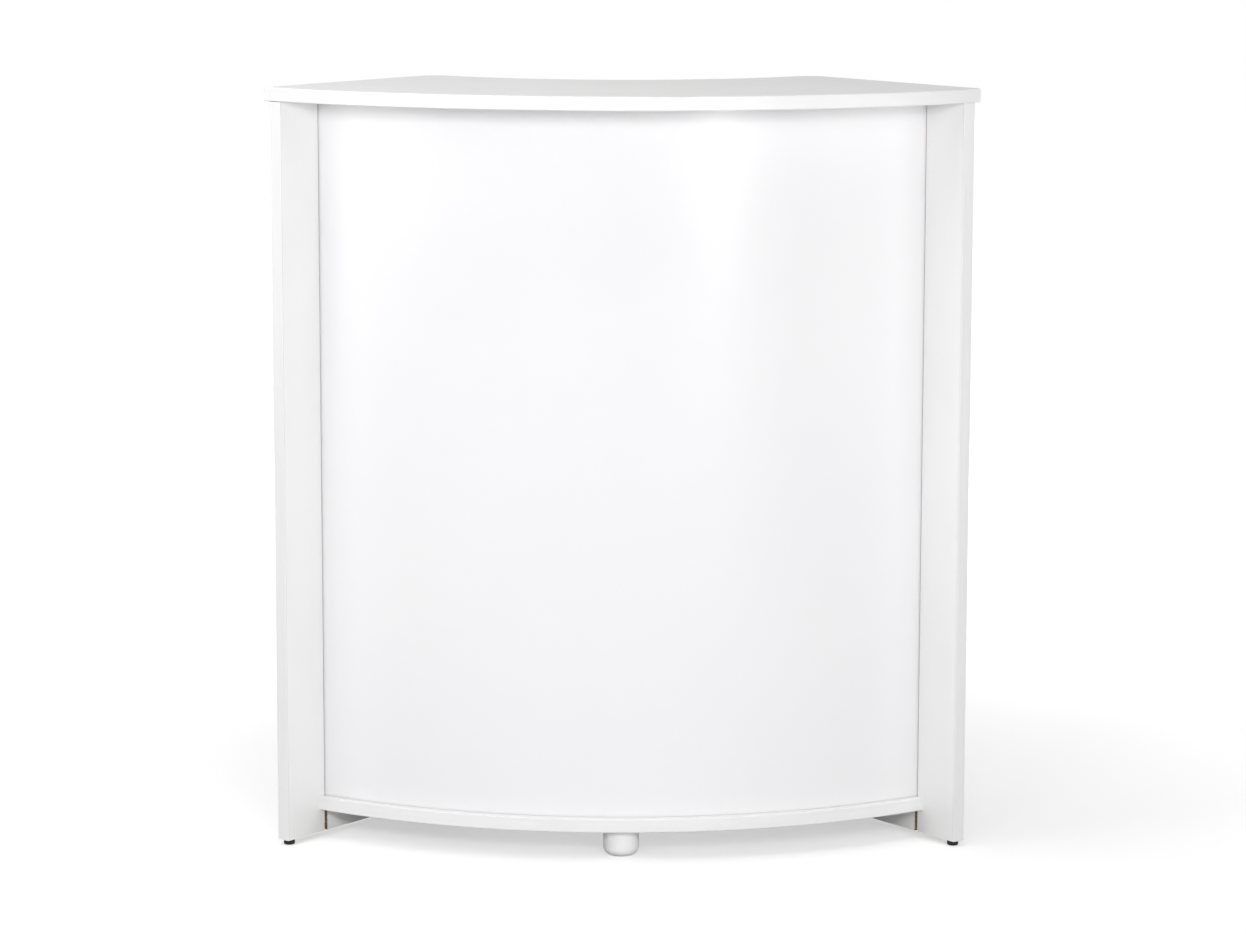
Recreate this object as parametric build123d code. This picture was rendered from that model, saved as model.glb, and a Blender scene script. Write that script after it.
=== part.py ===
from build123d import *
import math
import os

# Curved checkout counter. Millimetres, +Z up, front towards -Y, +X to the right seen from the front.
# Origin: middle of the footprint, on the floor.

# Overall
width = 967.0
depth = 449.0
height = 1048.0
board = 19.0                # thickness of the worktop, side panels, base board and shelves
thick_strip = 2.0           # edge strip round the worktop and on the base board's front
thin_strip = 1.0            # edge strip on every other banded edge
thick_round = 1.5           # rounding of the thick strips' outer edges
thin_round = 0.6            # rounding of the thin strips' outer edges

# Worktop outline seen from above: convex front, straight sides closing to the back, concave back
front_rise = 181.6          # the front's middle stands this far forward of its corners
side_angle = 37.5           # each side leans in by this angle from +Y
side_length = 354.6         # front corner to the point where side line and back arc meet
back_middle_y = 130.0
rear_corner_radius = 30.0

# Side panels
panel_front_x = 460.4       # inner face at its front end
panel_front_gap = 0.5       # the front end lies this far behind the worktop's front edge
panel_length = 338.0
panel_bottom = 7.5

# Base board and shelves
base_bottom = 39.4
base_front_y = -139.7
curve_radius = 746.0        # base board's front edge and front panel's outer face
back_inset = 20.0           # base board and shelves end this far in front of the worktop's back
shelf_front_gap = 1.5
loose_gap = 0.8             # between the adjustable shelf and each side panel

# Front panel and its grooves
front_panel = 4.0
front_panel_y = -126.2      # foremost point of its outer face
groove_front_gap = 1.5      # open groove before the front panel's outer face
groove_rear_gap = 0.5       # and behind its inner face
side_groove = 8.0           # depth in the side panels
end_gap = 0.5               # front panel's ends to the bottom of those grooves
board_groove = 6.0          # depth in the base board and the worktop

# Fittings, by distance from the side panel's front end
cam_places = (130.0, 290.0)
dowel_places = (165.0, 255.0)
pin_places = (120.0, 300.0)
bore_play = 0.1             # every fitting's bore is this much wider in radius, or longer at its blind end
cam_radius = 7.4
cam_height = 12.8
cam_inset = 24.0            # cam's centre to the joint
cam_side_hole = 3.9         # radius of the hole that the bolt's head enters
cam_slot_depth = 2.5
cam_slot_length = 8.0
cam_slot_width = 1.6
bolt_thread_radius = 2.95
bolt_thread_length = 11.0
bolt_shank_radius = 3.2
bolt_shank_length = 16.0
bolt_neck_radius = 2.0
bolt_neck_length = 5.0
bolt_head_radius = 3.4
bolt_head_length = 2.5
cap_radius = 8.5
cap_thickness = 1.2
cap_round = 0.8
dowel_radius = 4.0
dowel_length = 28.0
dowel_in_far_board = 10.5
dowel_chamfer = 1.0

# Shelf pins and their rows of holes
pin_radius = 2.5
pin_shank_length = 9.0
pin_hole_depth = 10.0
pin_below_shelf = 4.0       # pin's axis below the shelf's underside
pin_collar_radius = 3.9
pin_collar_length = 1.0
pin_paddle_width = 9.0
pin_paddle_length = 13.0
pin_paddle_thickness = 1.6
pin_rib_width = 1.8
pin_rib_height = 6.0
pin_rib_length = 11.0
pin_pitch = 32.0
pin_steps = 3               # free holes above and below each pin

# Foot
foot_y = -99.0
foot_radius = 24.5
foot_wall = 3.1
foot_floor = 4.0
foot_rim_radius = 12.0
foot_inner_round = 8.0
foot_gap = 0.3              # cup's top edge to the flange
boss_radius = 7.5
boss_height = 24.0          # above the cup's floor
foot_rib_height = 7.0
foot_rib_thickness = 1.6
foot_bore_floor = 5.0       # height at which the threaded bore ends
flange_height = 3.5
sleeve_wall = 2.0
sleeve_bottom = 12.5
pocket_depth = 2.3
pocket_play = 0.2
screw_radius = 4.0
screw_head_radius = 8.0
screw_head_height = 2.1
screw_tip_height = 7.0
socket_radius = 2.5
socket_depth = 1.7
running_gap = 0.06
flange_screw_count = 4
flange_screw_ring = 14.0
flange_screw_radius = 1.7
flange_screw_length = 14.0
flange_screw_head_radius = 3.2
flange_screw_head_height = 1.4
access_hole_radius = 5.0    # through the base board, above the levelling screw
hole_cap_radius = 7.5
hole_cap_plug_depth = 5.0

# Glides
glide_radius = 7.75
glide_round = 2.0
glide_place = 12.0          # from the side panel's front and rear ends
nail_radius = 1.25
nail_length = 17.5
nail_head_radius = 2.9
nail_head_height = 0.9
nail_recess_radius = 3.2
nail_recess_depth = 1.8

# Worked out from the sizes above
half_width = width / 2
front_y = -depth / 2
front_radius = (half_width**2 + front_rise**2) / (2 * front_rise)
front_centre_y = front_y + front_radius
lean_sin = math.sin(math.radians(side_angle))
lean_cos = math.cos(math.radians(side_angle))
back_corner_x = half_width - side_length * lean_sin
back_corner_y = front_y + front_rise + side_length * lean_cos
back_rise = back_corner_y - back_middle_y
back_radius = (back_corner_x**2 + back_rise**2) / (2 * back_rise)
back_centre_y = back_middle_y + back_radius
rear_radius = back_radius + back_inset      # rear edges of the base board and shelves
panel_top = height - board
panel_height = panel_top - panel_bottom
panel_front_y = front_centre_y - math.sqrt(front_radius**2 - panel_front_x**2) + panel_front_gap
base_top = base_bottom + board
base_centre_y = base_front_y + curve_radius
front_panel_centre_y = front_panel_y + curve_radius
front_panel_inner_radius = curve_radius - front_panel
niche_height = (panel_top - base_top - 2 * board) / 3
fixed_shelf_bottom = base_top + niche_height
loose_shelf_bottom = fixed_shelf_bottom + board + niche_height
half_board = board / 2

BASE = (Align.CENTER, Align.CENTER, Align.MIN)

# Right side panel's own frame: X to the back along it, Y up, Z outwards through its thickness
panel_frame = Plane(
    origin=(panel_front_x, panel_front_y, 0),
    x_dir=(-lean_sin, lean_cos, 0),
    z_dir=(lean_cos, lean_sin, 0),
)
outwards = panel_frame.z_dir


def on_panel(along, up, through=0.0):
    """Place in the right side panel's frame."""
    return panel_frame.location * Pos(along, up, through)


def both_sides(shapes):
    """The right-hand shapes and their mirror images."""
    return shapes + [mirror(shape, about=Plane.YZ) for shape in shapes]


def cut(shape, tools):
    for tool in tools:
        shape = shape - tool
    return shape


def disc(radius, centre_y):
    return Pos(0, centre_y) * Circle(radius)


def pillar(radius, centre_y):
    """Upright cylinder taller than the counter, for cutting along an arc."""
    return Pos(0, centre_y, -1) * Cylinder(radius, height + 2, align=BASE)


def wedge(line_x, line_y, inset):
    """Area between the two leaning side lines through (+-line_x, line_y), each moved in by inset."""
    reach_forward = 300.0
    reach_back = 420.0
    ends = []
    for along in (-reach_forward, reach_back):
        x = line_x - along * lean_sin - inset * lean_cos
        y = line_y + along * lean_cos - inset * lean_sin
        ends.append((x, y))
    (front_x, far_front_y), (back_x, far_back_y) = ends
    right = [(front_x, far_front_y), (back_x, far_back_y)]
    left = [(-back_x, far_back_y), (-front_x, far_front_y)]
    return make_face(Polyline(*right, *left, close=True))


def bay(inset):
    """Area between the inner faces of the side panels."""
    return wedge(panel_front_x, panel_front_y, inset)


def slab(outline, bottom, thickness):
    return Pos(0, 0, bottom) * extrude(outline, amount=thickness)


def arc_edges(shape, radius):
    """Long curved edges of a board, chosen by their radius."""
    arcs = shape.edges().filter_by(GeomType.CIRCLE)
    return [edge for edge in arcs if abs(edge.radius - radius) < 0.01]


def group(shapes):
    return Compound(children=[shape.solid() for shape in shapes])


# ---------------------------------------------------------------- fittings, in a joint's own frame
# Joint frame: origin where the fitting's axis crosses the joint, Z into the far board,
# X from the middle of the near board to the face that the cam is turned from.


def cam_housing():
    """Round cam with a cross slot and a side hole for the bolt's head."""
    slot_place = Pos(half_board, 0, -cam_inset)
    body = slot_place * Rot(0, -90, 0) * Cylinder(cam_radius, cam_height, align=BASE)
    side_hole = Pos(0, 0, -cam_inset) * Cylinder(cam_side_hole, cam_radius + 1, align=BASE)
    slot = Box(2 * cam_slot_depth, cam_slot_width, cam_slot_length)
    slot = slot + Box(2 * cam_slot_depth, cam_slot_length, cam_slot_width)
    return body - side_hole - slot_place * slot


def cam_bolt():
    """Threaded end in the far board, plain shank, neck and head in the cam."""
    neck_end = -bolt_shank_length - bolt_neck_length
    thread = Cylinder(bolt_thread_radius, bolt_thread_length, align=BASE)
    shank = Pos(0, 0, -bolt_shank_length) * Cylinder(bolt_shank_radius, bolt_shank_length, align=BASE)
    neck = Pos(0, 0, neck_end) * Cylinder(bolt_neck_radius, bolt_neck_length, align=BASE)
    head = Cylinder(bolt_head_radius, bolt_head_length, align=BASE)
    return thread + shank + neck + Pos(0, 0, neck_end - bolt_head_length) * head


def cam_cap():
    """Thin cover over the cam, on the board's face."""
    cap = Cylinder(cap_radius, cap_thickness, align=BASE)
    cap = Pos(half_board, 0, -cam_inset) * Rot(0, 90, 0) * cap
    rim = cap.faces().sort_by(Axis.X)[-1].edges()
    return fillet(rim, cap_round)


def cam_near_bores():
    """Blind bore for the cam, from the face, and the bolt's bore, from the joint."""
    blind_play = 0.5
    bore = Cylinder(cam_radius + bore_play, cam_height + blind_play + 1, align=BASE)
    bolt_bore = Cylinder(bolt_shank_radius + 0.8, cam_inset + 1, align=BASE)
    bore = Pos(half_board + 1, 0, -cam_inset) * Rot(0, -90, 0) * bore
    return bore + Pos(0, 0, -cam_inset) * bolt_bore


def cam_far_bore():
    length = bolt_thread_length + 0.5
    return Pos(0, 0, -1) * Cylinder(bolt_thread_radius + bore_play / 2, length + 1, align=BASE)


def dowel():
    pin = Cylinder(dowel_radius, dowel_length, align=BASE)
    pin = Pos(0, 0, dowel_in_far_board - dowel_length) * pin
    ends = pin.edges().filter_by(GeomType.CIRCLE)
    return chamfer(ends, dowel_chamfer)


def dowel_bore():
    """Longer than the dowel by the same play at both ends."""
    end_play = 0.5
    length = dowel_length + 2 * end_play
    bore = Cylinder(dowel_radius + bore_play / 2, length, align=BASE)
    return Pos(0, 0, dowel_in_far_board + end_play - length) * bore


def end_joints(bottom, places):
    """Frames of the fittings between a level board's right end and the side panel."""
    frames = []
    for along in places:
        spot = on_panel(along, bottom + half_board).position
        frames.append(Plane(origin=spot, x_dir=(0, 0, -1), z_dir=outwards).location)
    return frames


def worktop_joints(places):
    """Frames of the fittings between the right side panel's top and the worktop."""
    frames = []
    for along in places:
        spot = on_panel(along, panel_top, half_board).position
        frames.append(Plane(origin=spot, x_dir=-outwards, z_dir=(0, 0, 1)).location)
    return frames


def fitted(frames, shape):
    return [frame * shape for frame in frames]


cam_frames = {
    "worktop": worktop_joints(cam_places),
    "base_board": end_joints(base_bottom, cam_places),
    "fixed_shelf": end_joints(fixed_shelf_bottom, cam_places),
}
dowel_frames = {
    "worktop": worktop_joints(dowel_places),
    "base_board": end_joints(base_bottom, dowel_places),
    "fixed_shelf": end_joints(fixed_shelf_bottom, dowel_places),
}


def end_bores(name):
    """Everything drilled into a level board's two ends."""
    right = fitted(cam_frames[name], cam_near_bores())
    right = right + fitted(dowel_frames[name], dowel_bore())
    return both_sides(right)


# ---------------------------------------------------------------- shelf pins


def shelf_pin():
    """Round shank in the wall and a flat paddle that the shelf rests on, in the panel's frame."""
    axis_place = Pos(0, -pin_below_shelf, 0)
    shank = axis_place * Cylinder(pin_radius - bore_play / 2, pin_shank_length, align=BASE)
    collar = Cylinder(pin_collar_radius, pin_collar_length, align=BASE)
    collar = axis_place * Pos(0, 0, -pin_collar_length) * collar
    paddle = Box(pin_paddle_width, pin_paddle_thickness, pin_paddle_length)
    paddle = Pos(0, -pin_paddle_thickness / 2, -pin_paddle_length / 2) * paddle
    rib = Box(pin_rib_width, pin_rib_height, pin_rib_length)
    rib = Pos(0, -pin_rib_height / 2, -pin_rib_length / 2) * rib
    return shank + collar + paddle + rib


def pin_holes():
    holes = []
    for along in pin_places:
        for step in range(-pin_steps, pin_steps + 1):
            up = loose_shelf_bottom - pin_below_shelf + step * pin_pitch
            hole = Cylinder(pin_radius, pin_hole_depth + 1, align=BASE)
            holes.append(on_panel(along, up, -1) * hole)
    return holes


# ---------------------------------------------------------------- boards


def panel_ring(front_gap, rear_gap):
    """Curved band that the front panel fills, widened by a gap on each face."""
    outer = disc(curve_radius + front_gap, front_panel_centre_y)
    return outer - disc(front_panel_inner_radius - rear_gap, front_panel_centre_y)


def groove_tool(bottom, tall):
    outline = panel_ring(groove_front_gap, groove_rear_gap) & bay(-side_groove)
    return slab(outline, bottom, tall)


def worktop_outline(inset):
    sides = wedge(half_width, front_y + front_rise, inset)
    front = disc(front_radius - inset, front_centre_y)
    back = disc(back_radius + inset, back_centre_y)
    outline = (sides & front) - back
    rear_corners = outline.vertices().sort_by(Axis.Y)[-2:]
    return fillet(rear_corners, rear_corner_radius - inset)


def make_worktop():
    """Core, front strip and the strip that wraps round sides and back."""
    whole = slab(worktop_outline(0), panel_top, board)
    rims = whole.faces().filter_by(Axis.Z).edges()
    whole = fillet(rims, thick_round)
    core_zone = slab(worktop_outline(thick_strip), panel_top - 1, board + 2)
    front_zone = pillar(front_radius - thick_strip, front_centre_y)
    tools = [groove_tool(panel_top - 1, board_groove + 1)]
    right = fitted(cam_frames["worktop"], cam_far_bore())
    right = right + fitted(dowel_frames["worktop"], dowel_bore())
    tools = tools + both_sides(right)
    return {
        "worktop_board": cut(whole & core_zone, tools),
        "worktop_front_strip": whole - front_zone,
        "worktop_side_and_back_strip": (whole & front_zone) - core_zone,
    }


def make_right_panel():
    """Core with its groove and bores, front strip and rear strip."""
    whole = on_panel(panel_length / 2, panel_bottom + panel_height / 2, half_board)
    whole = whole * Box(panel_length, panel_height, board)
    whole = fillet(whole.edges().filter_by(Axis.Z), thin_round)
    core_length = panel_length - 2 * thin_strip
    core_zone = Box(core_length, height * 2, board * 3)
    core_zone = on_panel(panel_length / 2, height / 2, half_board) * core_zone
    front_zone = on_panel(0, height / 2, half_board) * Box(panel_length, height * 2, board * 3)
    strips = whole - core_zone
    tools = [groove_tool(0, height)]
    tools = tools + fitted(cam_frames["worktop"], cam_near_bores())
    tools = tools + fitted(dowel_frames["worktop"], dowel_bore())
    for name in ("base_board", "fixed_shelf"):
        tools = tools + fitted(cam_frames[name], cam_far_bore())
        tools = tools + fitted(dowel_frames[name], dowel_bore())
    tools = tools + pin_holes()
    tools = tools + [Pos(0, 0, -1) * place * nail_bore() for place in right_glide_places()]
    return {
        "side_panel": cut(whole & core_zone, tools),
        "front_strip": strips & front_zone,
        "rear_strip": strips - front_zone,
    }


def level_board(bottom, side_gap, front_radius, front_centre, front_round):
    """Board between the side panels. Its curved edges are rounded first, then its ends are cut."""
    outline = bay(-side_groove) & disc(front_radius, front_centre)
    outline = outline - disc(rear_radius, back_centre_y)
    whole = slab(outline, bottom, board)
    whole = fillet(arc_edges(whole, rear_radius), thin_round)
    if front_round > 0:
        whole = fillet(arc_edges(whole, front_radius), front_round)
    return whole & slab(bay(side_gap), bottom - 1, board + 2)


def make_base_board():
    whole = level_board(base_bottom, 0, curve_radius, base_centre_y, thick_round)
    front_zone = pillar(curve_radius - thick_strip, base_centre_y)
    rear_zone = pillar(rear_radius + thin_strip, back_centre_y)
    tools = [groove_tool(base_top - board_groove, board_groove + 1)]
    tools = tools + end_bores("base_board")
    tools = tools + [place * flange_screw_bore() for place in flange_screw_places()]
    tools = tools + [Pos(0, foot_y, base_bottom - 1) * Cylinder(access_hole_radius, board + 2, align=BASE)]
    return {
        "base_board": cut((whole & front_zone) - rear_zone, tools),
        "base_board_front_strip": whole - front_zone,
        "base_board_rear_strip": whole & rear_zone,
    }


def make_shelf(bottom, side_gap, name, tools):
    """Shelf behind the front panel, with a strip on its concave rear edge."""
    front_radius = front_panel_inner_radius - shelf_front_gap
    whole = level_board(bottom, side_gap, front_radius, front_panel_centre_y, 0)
    rear_zone = pillar(rear_radius + thin_strip, back_centre_y)
    return {
        name: cut(whole - rear_zone, tools),
        name + "_rear_strip": whole & rear_zone,
    }


def make_front_panel():
    """Thin curved panel: ends in the side grooves, bottom on the groove in the base board."""
    outline = panel_ring(0, 0) & bay(end_gap - side_groove)
    bottom = base_top - board_groove
    top = panel_top + board_groove - end_gap
    return slab(outline, bottom, top - bottom)


# ---------------------------------------------------------------- glides and nails


def right_glide_places():
    """Under the right side panel's two ends, on the floor."""
    places = []
    for along in (glide_place, panel_length - glide_place):
        spot = on_panel(along, 0, half_board).position
        places.append(Pos(spot.X, spot.Y, 0))
    return places


def glide():
    """Round black glide with a sunk hole for its nail."""
    body = Cylinder(glide_radius, panel_bottom, align=BASE)
    body = fillet(body.edges().sort_by(Axis.Z)[0], glide_round)
    body = fillet(body.edges().sort_by(Axis.Z)[-1], 0.4)
    recess = Cylinder(nail_recess_radius, nail_recess_depth, align=BASE)
    return body - recess - Cylinder(nail_radius + bore_play / 2, panel_bottom, align=BASE)


def nail():
    head_bottom = nail_recess_depth - nail_head_height
    head = Pos(0, 0, head_bottom) * Cylinder(nail_head_radius, nail_head_height, align=BASE)
    shank = Pos(0, 0, head_bottom) * Cylinder(nail_radius, nail_length, align=BASE)
    return head + shank


def nail_bore():
    """From the floor up past the nail's point."""
    return Cylinder(nail_radius + bore_play / 2, nail_length + 4, align=BASE)


# ---------------------------------------------------------------- foot


def foot_cup():
    """Round cup with a rounded lower rim, a threaded boss and four low ribs inside."""
    cup_height = base_bottom - flange_height - foot_gap
    inner_radius = foot_radius - foot_wall
    body = Cylinder(foot_radius, cup_height, align=BASE)
    body = fillet(body.edges().sort_by(Axis.Z)[0], foot_rim_radius)
    body = fillet(body.edges().sort_by(Axis.Z)[-1], 0.5)
    hollow = Pos(0, 0, foot_floor) * Cylinder(inner_radius, cup_height, align=BASE)
    hollow = fillet(hollow.edges().sort_by(Axis.Z)[0], foot_inner_round)
    inside = Pos(0, 0, foot_floor - 1)
    boss = inside * Cylinder(boss_radius, boss_height + 1, align=BASE)
    rib = inside * Box(2 * inner_radius - 4, foot_rib_thickness, foot_rib_height + 1, align=BASE)
    bore = Pos(0, 0, foot_bore_floor) * Cylinder(screw_radius + running_gap, cup_height, align=BASE)
    return Pos(0, foot_y, 0) * (body - hollow + boss + rib + Rot(0, 0, 90) * rib - bore)


def foot_flange():
    """Plate under the base board with a pocket for the screw's head and a sleeve that guides the cup."""
    sleeve_radius = foot_radius - foot_wall - running_gap
    plate_bottom = base_bottom - flange_height
    sleeve_length = plate_bottom - sleeve_bottom
    plate = Cylinder(foot_radius - foot_gap, flange_height, align=BASE)
    sleeve = Cylinder(sleeve_radius, sleeve_length, align=BASE)
    sleeve = sleeve - Cylinder(sleeve_radius - sleeve_wall, sleeve_length, align=BASE)
    pocket = Cylinder(screw_head_radius + pocket_play, pocket_depth + 1, align=BASE)
    hole = Cylinder(screw_radius + foot_gap, flange_height + 1, align=BASE)
    flange = Pos(0, 0, plate_bottom) * plate + Pos(0, 0, sleeve_bottom) * sleeve
    flange = flange - Pos(0, 0, base_bottom - pocket_depth) * pocket - Pos(0, 0, plate_bottom - 1) * hole
    return cut(Pos(0, foot_y, 0) * flange, [place * flange_screw_bore() for place in flange_screw_places()])


def foot_screw():
    """Levelling screw: head held in the flange's pocket, driven from above through the base board."""
    head_bottom = base_bottom - screw_head_height - 0.1
    stem_length = head_bottom - screw_tip_height + 0.2
    head = Pos(0, 0, head_bottom) * Cylinder(screw_head_radius, screw_head_height, align=BASE)
    stem = Pos(0, 0, screw_tip_height) * Cylinder(screw_radius, stem_length, align=BASE)
    stem = chamfer(stem.edges().sort_by(Axis.Z)[0], 1.0)
    socket = extrude(RegularPolygon(socket_radius, 6), amount=socket_depth + 1)
    socket = Pos(0, 0, head_bottom + screw_head_height - socket_depth) * socket
    return Pos(0, foot_y, 0) * (head + stem - socket)


def flange_screw_places():
    ring = PolarLocations(flange_screw_ring, flange_screw_count, start_angle=45)
    return [Pos(0, foot_y, 0) * place for place in ring]


def flange_screw():
    plate_bottom = base_bottom - flange_height
    head = Cylinder(flange_screw_head_radius, flange_screw_head_height, align=BASE)
    head = Pos(0, 0, plate_bottom - flange_screw_head_height) * head
    head = fillet(head.edges().sort_by(Axis.Z)[0], 0.9)
    shank = Cylinder(flange_screw_radius, flange_screw_length, align=BASE)
    return head + Pos(0, 0, plate_bottom - 0.2) * shank


def flange_screw_bore():
    """Open below the flange's plate and longer than the screw's shank."""
    bore = Cylinder(flange_screw_radius + bore_play / 2, flange_screw_length + 1.5, align=BASE)
    return Pos(0, 0, base_bottom - flange_height - 0.5) * bore


def foot_hole_cap():
    """Plug that closes the hole over the levelling screw."""
    top = Pos(0, 0, base_top) * Cylinder(hole_cap_radius, cap_thickness, align=BASE)
    top = fillet(top.edges().sort_by(Axis.Z)[-1], cap_round)
    plug = Cylinder(access_hole_radius - bore_play, hole_cap_plug_depth + 0.5, align=BASE)
    return Pos(0, foot_y, 0) * (top + Pos(0, 0, base_top - hole_cap_plug_depth) * plug)


# ---------------------------------------------------------------- all pieces

nodes = {}
nodes.update(make_worktop())
nodes.update(make_base_board())
nodes.update(make_shelf(fixed_shelf_bottom, 0, "fixed_shelf", end_bores("fixed_shelf")))
nodes.update(make_shelf(loose_shelf_bottom, loose_gap, "adjustable_shelf", []))
nodes["front_panel"] = make_front_panel()

right_panel = make_right_panel()
for side, flip in (("right", False), ("left", True)):
    names = {"side_panel": f"side_panel_{side}"}
    names["front_strip"] = f"side_panel_{side}_front_strip"
    names["rear_strip"] = f"side_panel_{side}_rear_strip"
    for key, name in names.items():
        shape = right_panel[key]
        nodes[name] = mirror(shape, about=Plane.YZ) if flip else shape
    for end, place in zip(("front", "rear"), right_glide_places()):
        shape = place * glide()
        nodes[f"glide_{end}_{side}"] = mirror(shape, about=Plane.YZ) if flip else shape

nodes["glide_nails"] = group(both_sides([place * nail() for place in right_glide_places()]))

for name, frames in cam_frames.items():
    nodes[name + "_cam_housings"] = group(both_sides(fitted(frames, cam_housing())))
    nodes[name + "_cam_bolts"] = group(both_sides(fitted(frames, cam_bolt())))
    nodes[name + "_dowels"] = group(both_sides(fitted(dowel_frames[name], dowel())))
for name in ("worktop", "fixed_shelf"):
    nodes[name + "_cam_caps"] = group(both_sides(fitted(cam_frames[name], cam_cap())))

pins = [on_panel(along, loose_shelf_bottom) * shelf_pin() for along in pin_places]
nodes["shelf_pins"] = group(both_sides(pins))

nodes["foot_cup"] = foot_cup()
nodes["foot_flange"] = foot_flange()
nodes["foot_screw"] = foot_screw()
nodes["foot_flange_screws"] = group([place * flange_screw() for place in flange_screw_places()])
nodes["foot_hole_cap"] = foot_hole_cap()

os.makedirs("parts", exist_ok=True)
for name, shape in nodes.items():
    export_step(shape, f"parts/{name}.step")
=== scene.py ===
import math

import bmesh
import bpy
from mathutils import Matrix, Vector


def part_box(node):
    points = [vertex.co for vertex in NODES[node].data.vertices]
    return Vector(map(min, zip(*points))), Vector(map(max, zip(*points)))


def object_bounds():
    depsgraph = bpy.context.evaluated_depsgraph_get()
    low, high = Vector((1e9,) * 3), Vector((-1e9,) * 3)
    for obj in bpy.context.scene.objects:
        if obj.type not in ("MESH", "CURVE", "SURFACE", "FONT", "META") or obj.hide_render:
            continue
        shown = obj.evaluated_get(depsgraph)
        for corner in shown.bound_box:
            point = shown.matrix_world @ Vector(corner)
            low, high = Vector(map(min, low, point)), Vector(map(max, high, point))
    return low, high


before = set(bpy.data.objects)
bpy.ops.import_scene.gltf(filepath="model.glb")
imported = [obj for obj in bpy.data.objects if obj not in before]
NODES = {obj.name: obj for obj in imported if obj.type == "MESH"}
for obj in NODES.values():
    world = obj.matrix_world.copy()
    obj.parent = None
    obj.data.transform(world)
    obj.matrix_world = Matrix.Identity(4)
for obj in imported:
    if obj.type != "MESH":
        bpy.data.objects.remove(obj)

MM = 0.001
CAD_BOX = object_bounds()

# Driving sizes of the counter, the same as in the CAD
BOARD = 19.0 * MM
THICK_STRIP = 2.0 * MM
THIN_STRIP = 1.0 * MM
FRONT_RISE = 181.6 * MM
SIDE_ANGLE = math.radians(37.5)
SIDE_LENGTH = 354.6 * MM
BACK_MIDDLE_Y = 130.0 * MM
REAR_CORNER_RADIUS = 30.0 * MM
BACK_INSET = 20.0 * MM
CURVE_RADIUS = 746.0 * MM
FRONT_SHEET = 4.0 * MM
PANEL_LENGTH = 338.0 * MM

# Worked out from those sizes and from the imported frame
HALF_WIDTH = CAD_BOX[1].x
FRONT_Y = CAD_BOX[0].y
LEAN_SIN = math.sin(SIDE_ANGLE)
LEAN_COS = math.cos(SIDE_ANGLE)
FRONT_RADIUS = (HALF_WIDTH ** 2 + FRONT_RISE ** 2) / (2 * FRONT_RISE)
FRONT_CENTRE_Y = FRONT_Y + FRONT_RADIUS
CORNER_Y = FRONT_Y + FRONT_RISE
SIDE_FACE = HALF_WIDTH * LEAN_COS + CORNER_Y * LEAN_SIN
BACK_CORNER_X = HALF_WIDTH - SIDE_LENGTH * LEAN_SIN
BACK_RISE = CORNER_Y + SIDE_LENGTH * LEAN_COS - BACK_MIDDLE_Y
BACK_RADIUS = (BACK_CORNER_X ** 2 + BACK_RISE ** 2) / (2 * BACK_RISE)
BACK_CENTRE_Y = BACK_MIDDLE_Y + BACK_RADIUS
BASE_CENTRE_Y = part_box("base_board_front_strip")[0].y + CURVE_RADIUS
SHEET_CENTRE_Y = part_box("front_panel")[0].y + CURVE_RADIUS

# Layers and lines on the boards
SKIN = 0.35 * MM            # melamine on each face of a board
SHEET_SKIN = 0.25 * MM      # coating on each face of the front panel
SKIN_FADE = 1.3             # the core is fully bare at this many skins deep
BARE_ROUGHNESS = 0.9
GLUE_LINE = (0.10 * MM, 0.22 * MM)      # from its middle: where full glue ends, and all glue

# Features of the core to a metre
CHIPS = 420
CHIP_DUST = 1600
FIBRES = 900

# Values of a noise between which one colour passes into the other
NARROW_BAND = (0.35, 0.65)
MIDDLE_BAND = (0.3, 0.7)
WIDE_BAND = (0.2, 0.8)

# Colours, as linear red, green and blue
MELAMINE = (0.884, 0.882, 0.878)
MELAMINE_DULL = (0.866, 0.864, 0.860)
SHEET = (0.882, 0.876, 0.888)
SHEET_DULL = (0.869, 0.863, 0.877)
STRIP = (0.886, 0.884, 0.884)
STRIP_DULL = (0.860, 0.858, 0.859)
GLUE = (0.42, 0.41, 0.39)
CHIP_LIGHT = (0.38, 0.27, 0.16)
CHIP_DARK = (0.14, 0.09, 0.05)
FIBRE_LIGHT = (0.36, 0.25, 0.15)
FIBRE_DARK = (0.22, 0.14, 0.08)
BEECH_LIGHT = (0.66, 0.48, 0.30)
BEECH_DARK = (0.50, 0.33, 0.19)
WHITE = (1.0, 1.0, 1.0, 1.0)
FLOOR_GREY = (0.62, 0.62, 0.62, 1.0)

# The floor's glow rises from GLOW_NEAR at the first radius to plain white at the second
FLOOR_REACH = 14.0
GLOW_RADII = (0.5, 2.6)
GLOW_NEAR = 0.47

# The camera is 5.5 m in front of the counter's middle and pitched down at it
EYE = (-0.0076, -5.46, 1.3947)
YAW = -0.00173
PITCH = math.radians(9.07)
ROLL = 0.00184
SENSOR_MM = 36.0
LENS_MM = 115.75
VIEW_DEPTH = 60


# ---------------------------------------------------------------- shader maths

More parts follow.
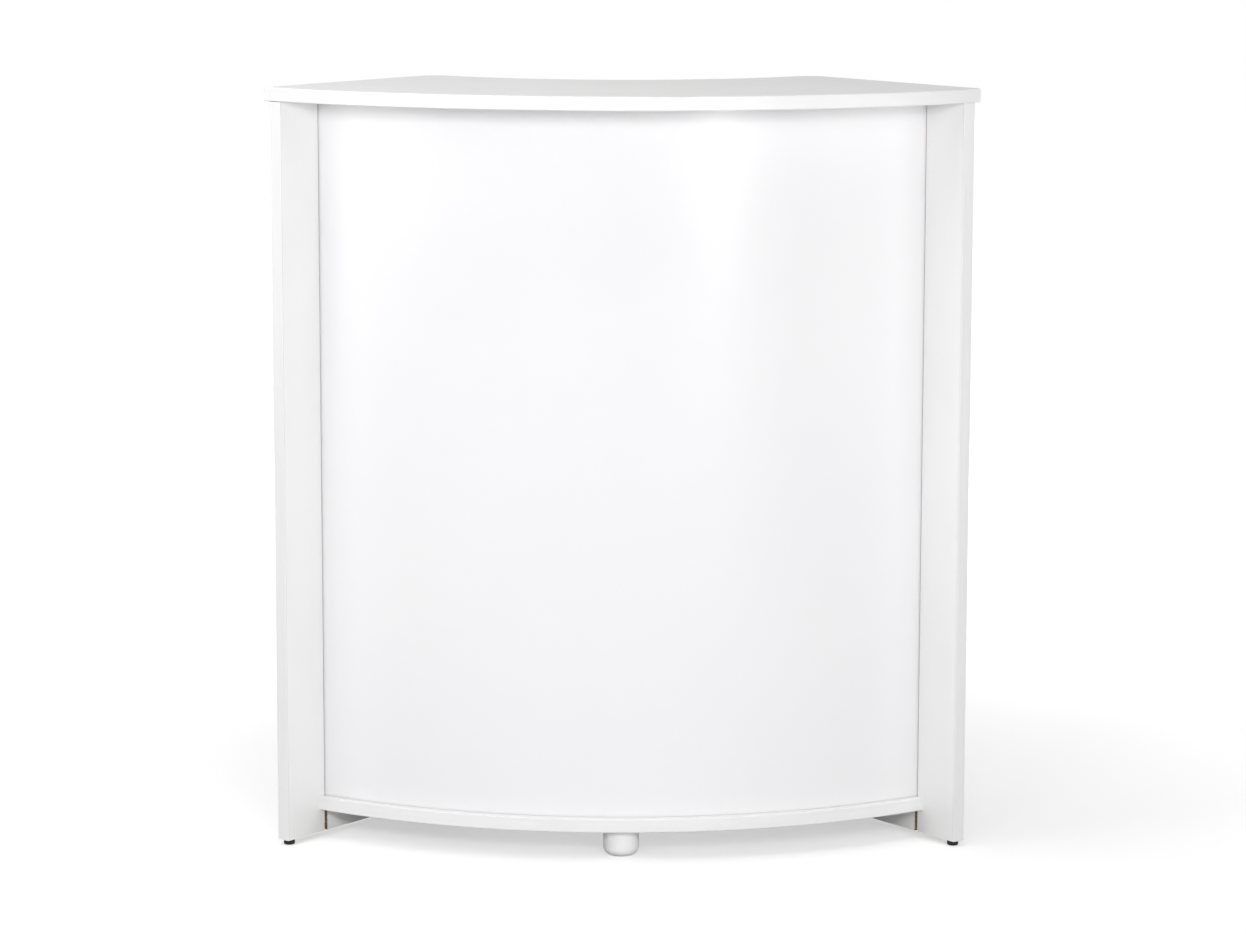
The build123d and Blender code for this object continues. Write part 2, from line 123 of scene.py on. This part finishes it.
class Field:
    """A number that varies over a surface, so that a formula can be written as one."""

    def __init__(self, tree, socket):
        self.tree = tree
        self.socket = socket

    def math(self, operation, *others):
        node = self.tree.nodes.new("ShaderNodeMath")
        node.operation = operation
        for slot, value in enumerate((self, *others)):
            if isinstance(value, Field):
                self.tree.links.new(value.socket, node.inputs[slot])
            else:
                node.inputs[slot].default_value = value
        return Field(self.tree, node.outputs[0])

    def __add__(self, other):
        return self.math("ADD", other)

    def __sub__(self, other):
        return self.math("SUBTRACT", other)

    def __rsub__(self, other):
        return self.math("MULTIPLY", -1.0) + other

    def __mul__(self, other):
        return self.math("MULTIPLY", other)

    def __abs__(self):
        return self.math("ABSOLUTE")

    def at_most(self, limit):
        return self.math("LESS_THAN", limit)

    def lowest(self, other):
        return self.math("MINIMUM", other)

    def highest(self, other):
        return self.math("MAXIMUM", other)

    def blend(self, other, share):
        """This field by its share, and the other by the rest."""
        return self * share + other * (1.0 - share)

    def ramp(self, start, end, low=0.0, high=1.0):
        """From low at start to high at end, eased at both."""
        node = self.tree.nodes.new("ShaderNodeMapRange")
        node.interpolation_type = "SMOOTHSTEP"
        self.tree.links.new(self.socket, node.inputs["Value"])
        node.inputs["From Min"].default_value = start
        node.inputs["From Max"].default_value = end
        node.inputs["To Min"].default_value = low
        node.inputs["To Max"].default_value = high
        return Field(self.tree, node.outputs["Result"])


class Paint:
    """One procedural material: places, textures, colour, roughness and relief."""

    def __init__(self, name):
        self.material = bpy.data.materials.new(name)
        self.material.use_nodes = True
        self.tree = self.material.node_tree
        self.shader = self.tree.nodes["Principled BSDF"]
        place = self.tree.nodes.new("ShaderNodeTexCoord")
        self.place = place.outputs["Object"]
        split = self.tree.nodes.new("ShaderNodeSeparateXYZ")
        self.tree.links.new(self.place, split.inputs[0])
        self.x, self.y, self.z = (Field(self.tree, s) for s in split.outputs)
        self.relief = None

    def constant(self, **values):
        for name, value in values.items():
            self.shader.inputs[name.replace("_", " ")].default_value = value

    def stretched(self, scale):
        """Places scaled along X, Y and Z, so that a texture runs long where the scale is small."""
        node = self.tree.nodes.new("ShaderNodeMapping")
        self.tree.links.new(self.place, node.inputs["Vector"])
        node.inputs["Scale"].default_value = scale
        return node.outputs[0]

    def noise(self, per_metre, detail=2.0, rough=0.5, place=None):
        node = self.tree.nodes.new("ShaderNodeTexNoise")
        self.tree.links.new(place or self.place, node.inputs["Vector"])
        node.inputs["Scale"].default_value = per_metre
        node.inputs["Detail"].default_value = detail
        node.inputs["Roughness"].default_value = rough
        return Field(self.tree, node.outputs["Fac"])

    def cells(self, per_metre):
        """Outputs of a texture of closed cells."""
        node = self.tree.nodes.new("ShaderNodeTexVoronoi")
        self.tree.links.new(self.place, node.inputs["Vector"])
        node.inputs["Scale"].default_value = per_metre
        return node.outputs

    def cell_depth(self, per_metre):
        return Field(self.tree, self.cells(per_metre)["Distance"])

    def cell_shade(self, per_metre):
        """One random value for each cell."""
        split = self.tree.nodes.new("ShaderNodeSeparateColor")
        self.tree.links.new(self.cells(per_metre)["Color"], split.inputs[0])
        return Field(self.tree, split.outputs[0])

    def colour_mix(self, factor, first, second):
        """first where factor is 0, second where it is 1. Each is a colour or another mix."""
        node = self.tree.nodes.new("ShaderNodeMix")
        node.data_type = "RGBA"
        self.tree.links.new(factor.socket, node.inputs["Factor"])
        for slot, value in (("A", first), ("B", second)):
            target = next(s for s in node.inputs if s.name == slot and s.type == "RGBA")
            if isinstance(value, bpy.types.NodeSocket):
                self.tree.links.new(value, target)
            else:
                target.default_value = (*value, 1.0)
        return next(s for s in node.outputs if s.type == "RGBA")

    def colour(self, socket):
        self.tree.links.new(socket, self.shader.inputs["Base Color"])

    def roughness(self, marks, smoothest, spread, bare=None):
        """Rises by spread over the marks, and is BARE_ROUGHNESS where the core is bare."""
        field = marks * spread + smoothest
        if bare is not None:
            field = field.highest(bare * BARE_ROUGHNESS)
        self.tree.links.new(field.socket, self.shader.inputs["Roughness"])

    def bump(self, field, height, strength=1.0):
        """Adds relief of that height in metres on top of what is there."""
        node = self.tree.nodes.new("ShaderNodeBump")
        node.inputs["Strength"].default_value = strength
        node.inputs["Distance"].default_value = height
        self.tree.links.new(field.socket, node.inputs["Height"])
        if self.relief is not None:
            self.tree.links.new(self.relief, node.inputs["Normal"])
        self.relief = node.outputs["Normal"]
        self.tree.links.new(self.relief, self.shader.inputs["Normal"])


# ---------------------------------------------------------------- places on the counter
# A place is a paint, whose x, y and z are fields, or a point of a mesh. Left and right are alike.

def lean_distance(place):
    """Distance outwards along a side's normal, from the middle of the floor."""
    return abs(place.x) * LEAN_COS + place.y * LEAN_SIN


def along_distance(place):
    """Distance backwards along a side."""
    return place.y * LEAN_COS - abs(place.x) * LEAN_SIN


def lowest_over(node, measure):
    return min(measure(vertex.co) for vertex in NODES[node].data.vertices)


def from_axis(paint, x, y):
    """Distance from an upright axis at that x and y."""
    spot = paint.tree.nodes.new("ShaderNodeCombineXYZ")
    paint.tree.links.new((abs(paint.x) - x).socket, spot.inputs["X"])
    paint.tree.links.new((paint.y - y).socket, spot.inputs["Y"])
    length = paint.tree.nodes.new("ShaderNodeVectorMath")
    length.operation = "LENGTH"
    paint.tree.links.new(spot.outputs["Vector"], length.inputs[0])
    return Field(paint.tree, length.outputs["Value"])


def depth_in_level_board(node):
    """For that board, the function that gives the depth below its nearer face."""
    low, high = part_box(node)
    middle = (low.z + high.z) / 2
    return lambda paint: BOARD / 2 - abs(paint.z - middle)


def depth_in_side_panel(paint):
    inner_face = lowest_over("side_panel_right", lean_distance)
    return BOARD / 2 - abs(lean_distance(paint) - (inner_face + BOARD / 2))


def depth_in_front_sheet(paint):
    middle = CURVE_RADIUS - FRONT_SHEET / 2
    return FRONT_SHEET / 2 - abs(from_axis(paint, 0.0, SHEET_CENTRE_Y) - middle)


def side_panel_seam(paint):
    """Distance from the glue lines behind a side panel's front and rear strips."""
    start = lowest_over("side_panel_right_front_strip", along_distance)
    middle = start + PANEL_LENGTH / 2
    return abs(abs(along_distance(paint) - middle) - (PANEL_LENGTH / 2 - THIN_STRIP))


def base_front_seam(paint):
    return abs(from_axis(paint, 0.0, BASE_CENTRE_Y) - (CURVE_RADIUS - THICK_STRIP))


def rear_seam(paint):
    radius = BACK_RADIUS + BACK_INSET + THIN_STRIP
    return abs(from_axis(paint, 0.0, BACK_CENTRE_Y) - radius)


def base_board_seam(paint):
    return base_front_seam(paint).lowest(rear_seam(paint))


def rear_corner_centre():
    """Centre of the worktop's rear corner rounding, its radius inside the side and the back."""
    offset = SIDE_FACE - REAR_CORNER_RADIUS - BACK_CENTRE_Y * LEAN_SIN
    reach = BACK_RADIUS + REAR_CORNER_RADIUS
    back = math.sqrt(reach ** 2 - offset ** 2)
    x = offset * LEAN_COS + back * LEAN_SIN
    y = BACK_CENTRE_Y + offset * LEAN_SIN - back * LEAN_COS
    return x, y


def worktop_seam(paint):
    """Distance from the glue line inside the worktop's strips, all the way round it."""
    corner = REAR_CORNER_RADIUS - THICK_STRIP
    inside_side = (SIDE_FACE - THICK_STRIP) - lean_distance(paint)
    inside_back = from_axis(paint, 0.0, BACK_CENTRE_Y) - (BACK_RADIUS + THICK_STRIP)
    inside_front = (FRONT_RADIUS - THICK_STRIP) - from_axis(paint, 0.0, FRONT_CENTRE_Y)
    inside_corner = corner - from_axis(paint, *rear_corner_centre())
    at_corner = inside_side.at_most(corner) * inside_back.at_most(corner)
    elsewhere = inside_side.lowest(inside_back).lowest(inside_front)
    return abs(elsewhere * (1.0 - at_corner) + inside_corner * at_corner)


# ---------------------------------------------------------------- materials

def chipboard(paint):
    """Pressed wood chips, seen wherever a board is cut or drilled."""
    chips = paint.cell_shade(CHIPS)
    dust = paint.noise(CHIP_DUST, detail=3.0)
    return paint.colour_mix(chips.blend(dust, share=0.7).ramp(*WIDE_BAND), CHIP_DARK, CHIP_LIGHT)


def fibreboard(paint):
    return paint.colour_mix(paint.noise(FIBRES, detail=4.0, rough=0.6), FIBRE_DARK, FIBRE_LIGHT)


def glued_at(paint, seam, white):
    """That white, with a hairline of glue along the seam."""
    return paint.colour_mix(seam(paint).ramp(*GLUE_LINE), GLUE, white)


def melamine_board(name, depth, seam):
    """Chipboard with white melamine on both faces: a fine pebble, faint waves, hand-wiped gloss."""
    paint = Paint(name)
    clouds = paint.noise(per_metre=5.0, detail=3.0)
    white = paint.colour_mix(clouds.ramp(*NARROW_BAND), MELAMINE_DULL, MELAMINE)
    bare = depth(paint).ramp(SKIN, SKIN * SKIN_FADE)
    paint.colour(paint.colour_mix(bare, glued_at(paint, seam, white), chipboard(paint)))
    wiped = paint.noise(per_metre=14.0, detail=4.0, rough=0.6, place=paint.stretched((1, 1, 0.35)))
    paint.roughness(wiped, smoothest=0.34, spread=0.12, bare=bare)
    pebble = paint.noise(per_metre=1800).blend(paint.cell_depth(per_metre=900), share=0.6)
    paint.bump(paint.noise(per_metre=2.2, detail=1.0), height=0.6 * MM, strength=0.5)
    paint.bump(pebble, height=0.012 * MM, strength=0.6)
    paint.bump(paint.cell_depth(CHIPS) * bare, height=0.25 * MM)
    paint.constant(IOR=1.5, Coat_Weight=0.12, Coat_Roughness=0.25)
    return paint.material


def coated_sheet():
    """Thin bent fibreboard, smooth and slightly bluish white, with faint upright waves."""
    paint = Paint("coated_fibreboard")
    clouds = paint.noise(per_metre=3.2)
    white = paint.colour_mix(clouds.ramp(*MIDDLE_BAND), SHEET_DULL, SHEET)
    bare = depth_in_front_sheet(paint).ramp(SHEET_SKIN, SHEET_SKIN * SKIN_FADE)
    paint.colour(paint.colour_mix(bare, white, fibreboard(paint)))
    smears = paint.noise(per_metre=9.0, detail=3.0, rough=0.55, place=paint.stretched((1, 1, 0.3)))
    paint.roughness(smears, smoothest=0.30, spread=0.10, bare=bare)
    waves = paint.noise(per_metre=3.5, detail=1.0, rough=0.4, place=paint.stretched((1, 1, 0.25)))
    paint.bump(waves, height=1.2 * MM, strength=0.5)
    paint.bump(paint.noise(per_metre=2200), height=0.008 * MM, strength=0.5)
    paint.constant(IOR=1.5, Coat_Weight=0.2, Coat_Roughness=0.2)
    return paint.material


def edge_strip(name, seam, run):
    """Plastic edge strip: fine marks along its run, and a hairline of glue by the board."""
    paint = Paint(name)
    marks = paint.noise(per_metre=60.0, detail=4.0, rough=0.6, place=paint.stretched(run))
    white = paint.colour_mix(marks.ramp(*MIDDLE_BAND), STRIP_DULL, STRIP)
    paint.colour(glued_at(paint, seam, white))
    paint.roughness(marks, smoothest=0.30, spread=0.14)
    paint.bump(marks, height=0.03 * MM, strength=0.4)
    paint.bump(paint.noise(per_metre=1500), height=0.010 * MM, strength=0.5)
    paint.constant(IOR=1.5, Coat_Weight=0.1, Coat_Roughness=0.3)
    return paint.material


def moulded(name, light, dark, smoothest, grain=700, gloss=0.5):
    """Injection-moulded plastic with a fine eroded texture."""
    paint = Paint(name)
    clouds = paint.noise(per_metre=30.0, detail=3.0)
    paint.colour(paint.colour_mix(clouds.ramp(*MIDDLE_BAND), dark, light))
    paint.roughness(paint.noise(per_metre=90.0, detail=3.0), smoothest, spread=0.15)
    paint.bump(paint.noise(grain, detail=3.0, rough=0.6), height=0.03 * MM, strength=0.6)
    paint.constant(IOR=1.46, Specular_IOR_Level=gloss)
    return paint.material


def plated(name, light, dark, smoothest):
    """Plated or cast metal: slightly uneven, with fine tumbling marks."""
    paint = Paint(name)
    blotches = paint.noise(per_metre=120.0, detail=4.0, rough=0.6)
    paint.colour(paint.colour_mix(blotches.ramp(*MIDDLE_BAND), dark, light))
    scratches = paint.noise(per_metre=600.0, detail=3.0, rough=0.7)
    paint.roughness(scratches, smoothest, spread=0.25)
    paint.bump(scratches, height=0.01 * MM, strength=0.6)
    paint.constant(Metallic=1.0)
    return paint.material


def beech():
    """Beech dowel: pale brown with short dark flecks along the grain."""
    paint = Paint("beech")
    flecks = paint.noise(per_metre=180.0, detail=4.0, rough=0.6, place=paint.stretched((1, 1, 0.2)))
    paint.colour(paint.colour_mix(flecks.ramp(*MIDDLE_BAND), BEECH_DARK, BEECH_LIGHT))
    paint.roughness(flecks, smoothest=0.55, spread=0.2)
    paint.bump(flecks, height=0.05 * MM)
    return paint.material


def dress(names, material):
    for name in names:
        NODES[name].data.materials.clear()
        NODES[name].data.materials.append(material)


def ending(*ends):
    return [name for name in NODES if name.endswith(ends)]


def starting(start):
    return [name for name in NODES if name.startswith(start)]


def dress_boards():
    seams = {
        "worktop_board": worktop_seam,
        "base_board": base_board_seam,
        "fixed_shelf": rear_seam,
        "adjustable_shelf": rear_seam,
    }
    for name, seam in seams.items():
        dress([name], melamine_board(f"melamine_{name}", depth_in_level_board(name), seam))
    dress(["side_panel_left", "side_panel_right"],
          melamine_board("melamine_side_panels", depth_in_side_panel, side_panel_seam))
    dress(["front_panel"], coated_sheet())


def dress_strips():
    level = (0.12, 0.12, 1.0)
    upright = (1.0, 1.0, 0.06)
    dress(ending("worktop_front_strip", "side_and_back_strip"),
          edge_strip("strip_worktop", worktop_seam, level))
    dress(["base_board_front_strip"], edge_strip("strip_base_front", base_front_seam, level))
    dress(ending("board_rear_strip", "shelf_rear_strip"),
          edge_strip("strip_rear", rear_seam, level))
    dress([name for name in starting("side_panel") if name.endswith("_strip")],
          edge_strip("strip_side_panels", side_panel_seam, upright))


def dress_fittings():
    dress(ending("_caps", "_cap"), moulded(
        "white_caps", light=(0.86, 0.865, 0.865), dark=(0.83, 0.835, 0.835), smoothest=0.38))
    dress(["foot_cup", "foot_flange"], moulded(
        "foot_plastic", light=(0.93, 0.93, 0.93), dark=(0.91, 0.91, 0.915), smoothest=0.5,
        grain=420, gloss=0.35))
    dress([name for name in starting("glide_") if name != "glide_nails"], moulded(
        "black_glides", light=(0.018, 0.018, 0.019), dark=(0.010, 0.010, 0.011), smoothest=0.40))
    dress(ending("_bolts", "_nails", "_screws", "_screw"), plated(
        "zinc_plate", light=(0.72, 0.73, 0.76), dark=(0.60, 0.60, 0.60), smoothest=0.22))
    dress(ending("_housings"), plated(
        "cast_zinc", light=(0.58, 0.58, 0.60), dark=(0.48, 0.48, 0.49), smoothest=0.38))
    dress(["shelf_pins"], plated(
        "nickel_plate", light=(0.75, 0.72, 0.68), dark=(0.66, 0.63, 0.59), smoothest=0.18))
    dress(ending("_dowels"), beech())


# ---------------------------------------------------------------- stage

def make_floor():
    """Pale matte ground that fades to plain white far out. Only the camera sees its glow."""
    mesh = bpy.data.meshes.new("floor")
    form = bmesh.new()
    bmesh.ops.create_grid(form, x_segments=4, y_segments=4, size=FLOOR_REACH)
    form.to_mesh(mesh)
    form.free()
    floor = bpy.data.objects.new("floor", mesh)
    bpy.context.scene.collection.objects.link(floor)
    paint = Paint("pale_floor")
    paint.constant(Base_Color=FLOOR_GREY, Roughness=0.9, Specular_IOR_Level=0.1)
    paint.constant(Emission_Color=WHITE)
    glow = from_axis(paint, 0.0, 0.0).ramp(*GLOW_RADII, low=GLOW_NEAR)
    rays = paint.tree.nodes.new("ShaderNodeLightPath")
    seen = glow * Field(paint.tree, rays.outputs["Is Camera Ray"])
    paint.tree.links.new(seen.socket, paint.shader.inputs["Emission Strength"])
    mesh.materials.append(paint.material)


def make_world(lighting, mirrored, seen):
    """Even white surroundings, dimmer as a light and in reflections than they look."""
    world = bpy.data.worlds.new("studio")
    bpy.context.scene.world = world
    world.use_nodes = True
    tree = world.node_tree
    rays = tree.nodes.new("ShaderNodeLightPath")
    camera_ray = Field(tree, rays.outputs["Is Camera Ray"])
    glossy_ray = Field(tree, rays.outputs["Is Glossy Ray"])
    strength = camera_ray * (seen - lighting) + glossy_ray * (mirrored - lighting) + lighting
    background = tree.nodes["Background"]
    background.inputs["Color"].default_value = WHITE
    tree.links.new(strength.socket, background.inputs["Strength"])


def softbox(name, place, target, size, power, reflected=True):
    """Rectangular soft light at place, facing target. Size is its width and height."""
    light = bpy.data.lights.new(name, "AREA")
    light.shape = "RECTANGLE"
    light.size, light.size_y = size
    light.energy = power
    lamp = bpy.data.objects.new(name, light)
    lamp.visible_glossy = reflected
    lamp.location = place
    lamp.rotation_mode = "QUATERNION"
    lamp.rotation_quaternion = (Vector(target) - Vector(place)).to_track_quat("-Z", "Y")
    bpy.context.scene.collection.objects.link(lamp)


def make_lights():
    """Two frontal lights, one that glints on the right of the panel, three near the sides, two
    over the worktop and two low ones behind. Reflections leave out the key."""
    front = (0.0, -0.1, 0.6)
    middle = (0.0, 0.0, 0.55)
    softbox("key", place=(0.3, -3.5, 1.6), target=front, size=(1.0, 0.6), power=38.5,
            reflected=False)
    softbox("key_left_high", place=(-1.1, -3.3, 1.75), target=front, size=(1.0, 0.6), power=16.0)
    softbox("glint_right", place=(1.45, -3.5, 0.9), target=front, size=(0.5, 0.8), power=18.5)
    softbox("near_left_high", place=(-1.5, -0.8, 1.9), target=front, size=(0.9, 0.9), power=5.5)
    softbox("near_left_low", place=(-1.5, -0.8, 1.1), target=front, size=(0.9, 0.9), power=5.4)
    softbox("near_right", place=(1.7, -1.0, 1.0), target=front, size=(0.8, 1.6), power=5.8)
    softbox("above", place=(0.0, -0.52, 3.5), target=middle, size=(1.6, 1.6), power=23.0)
    softbox("above_left", place=(-0.9, 0.3, 2.6), target=front, size=(1.2, 1.2), power=9.0)
    softbox("behind_left", place=(-1.2, 3.4, 0.55), target=middle, size=(1.6, 0.8), power=30.0)
    softbox("behind_right", place=(1.6, 3.2, 0.55), target=middle, size=(1.6, 0.8), power=20.0)


def make_camera():
    camera = bpy.data.objects.new("camera", bpy.data.cameras.new("camera"))
    camera.data.sensor_width = SENSOR_MM
    camera.data.lens = LENS_MM
    camera.data.clip_end = VIEW_DEPTH
    turn = (Matrix.Rotation(YAW, 4, "Z") @ Matrix.Rotation(math.pi / 2 - PITCH, 4, "X")
            @ Matrix.Rotation(ROLL, 4, "Z"))
    camera.matrix_world = Matrix.Translation(EYE) @ turn
    bpy.context.scene.collection.objects.link(camera)
    bpy.context.scene.camera = camera


make_camera()
dress_boards()
dress_strips()
dress_fittings()
make_floor()
make_world(lighting=0.20, mirrored=0.55, seen=1.0)
make_lights()
bpy.context.scene.view_settings.view_transform = "Standard"
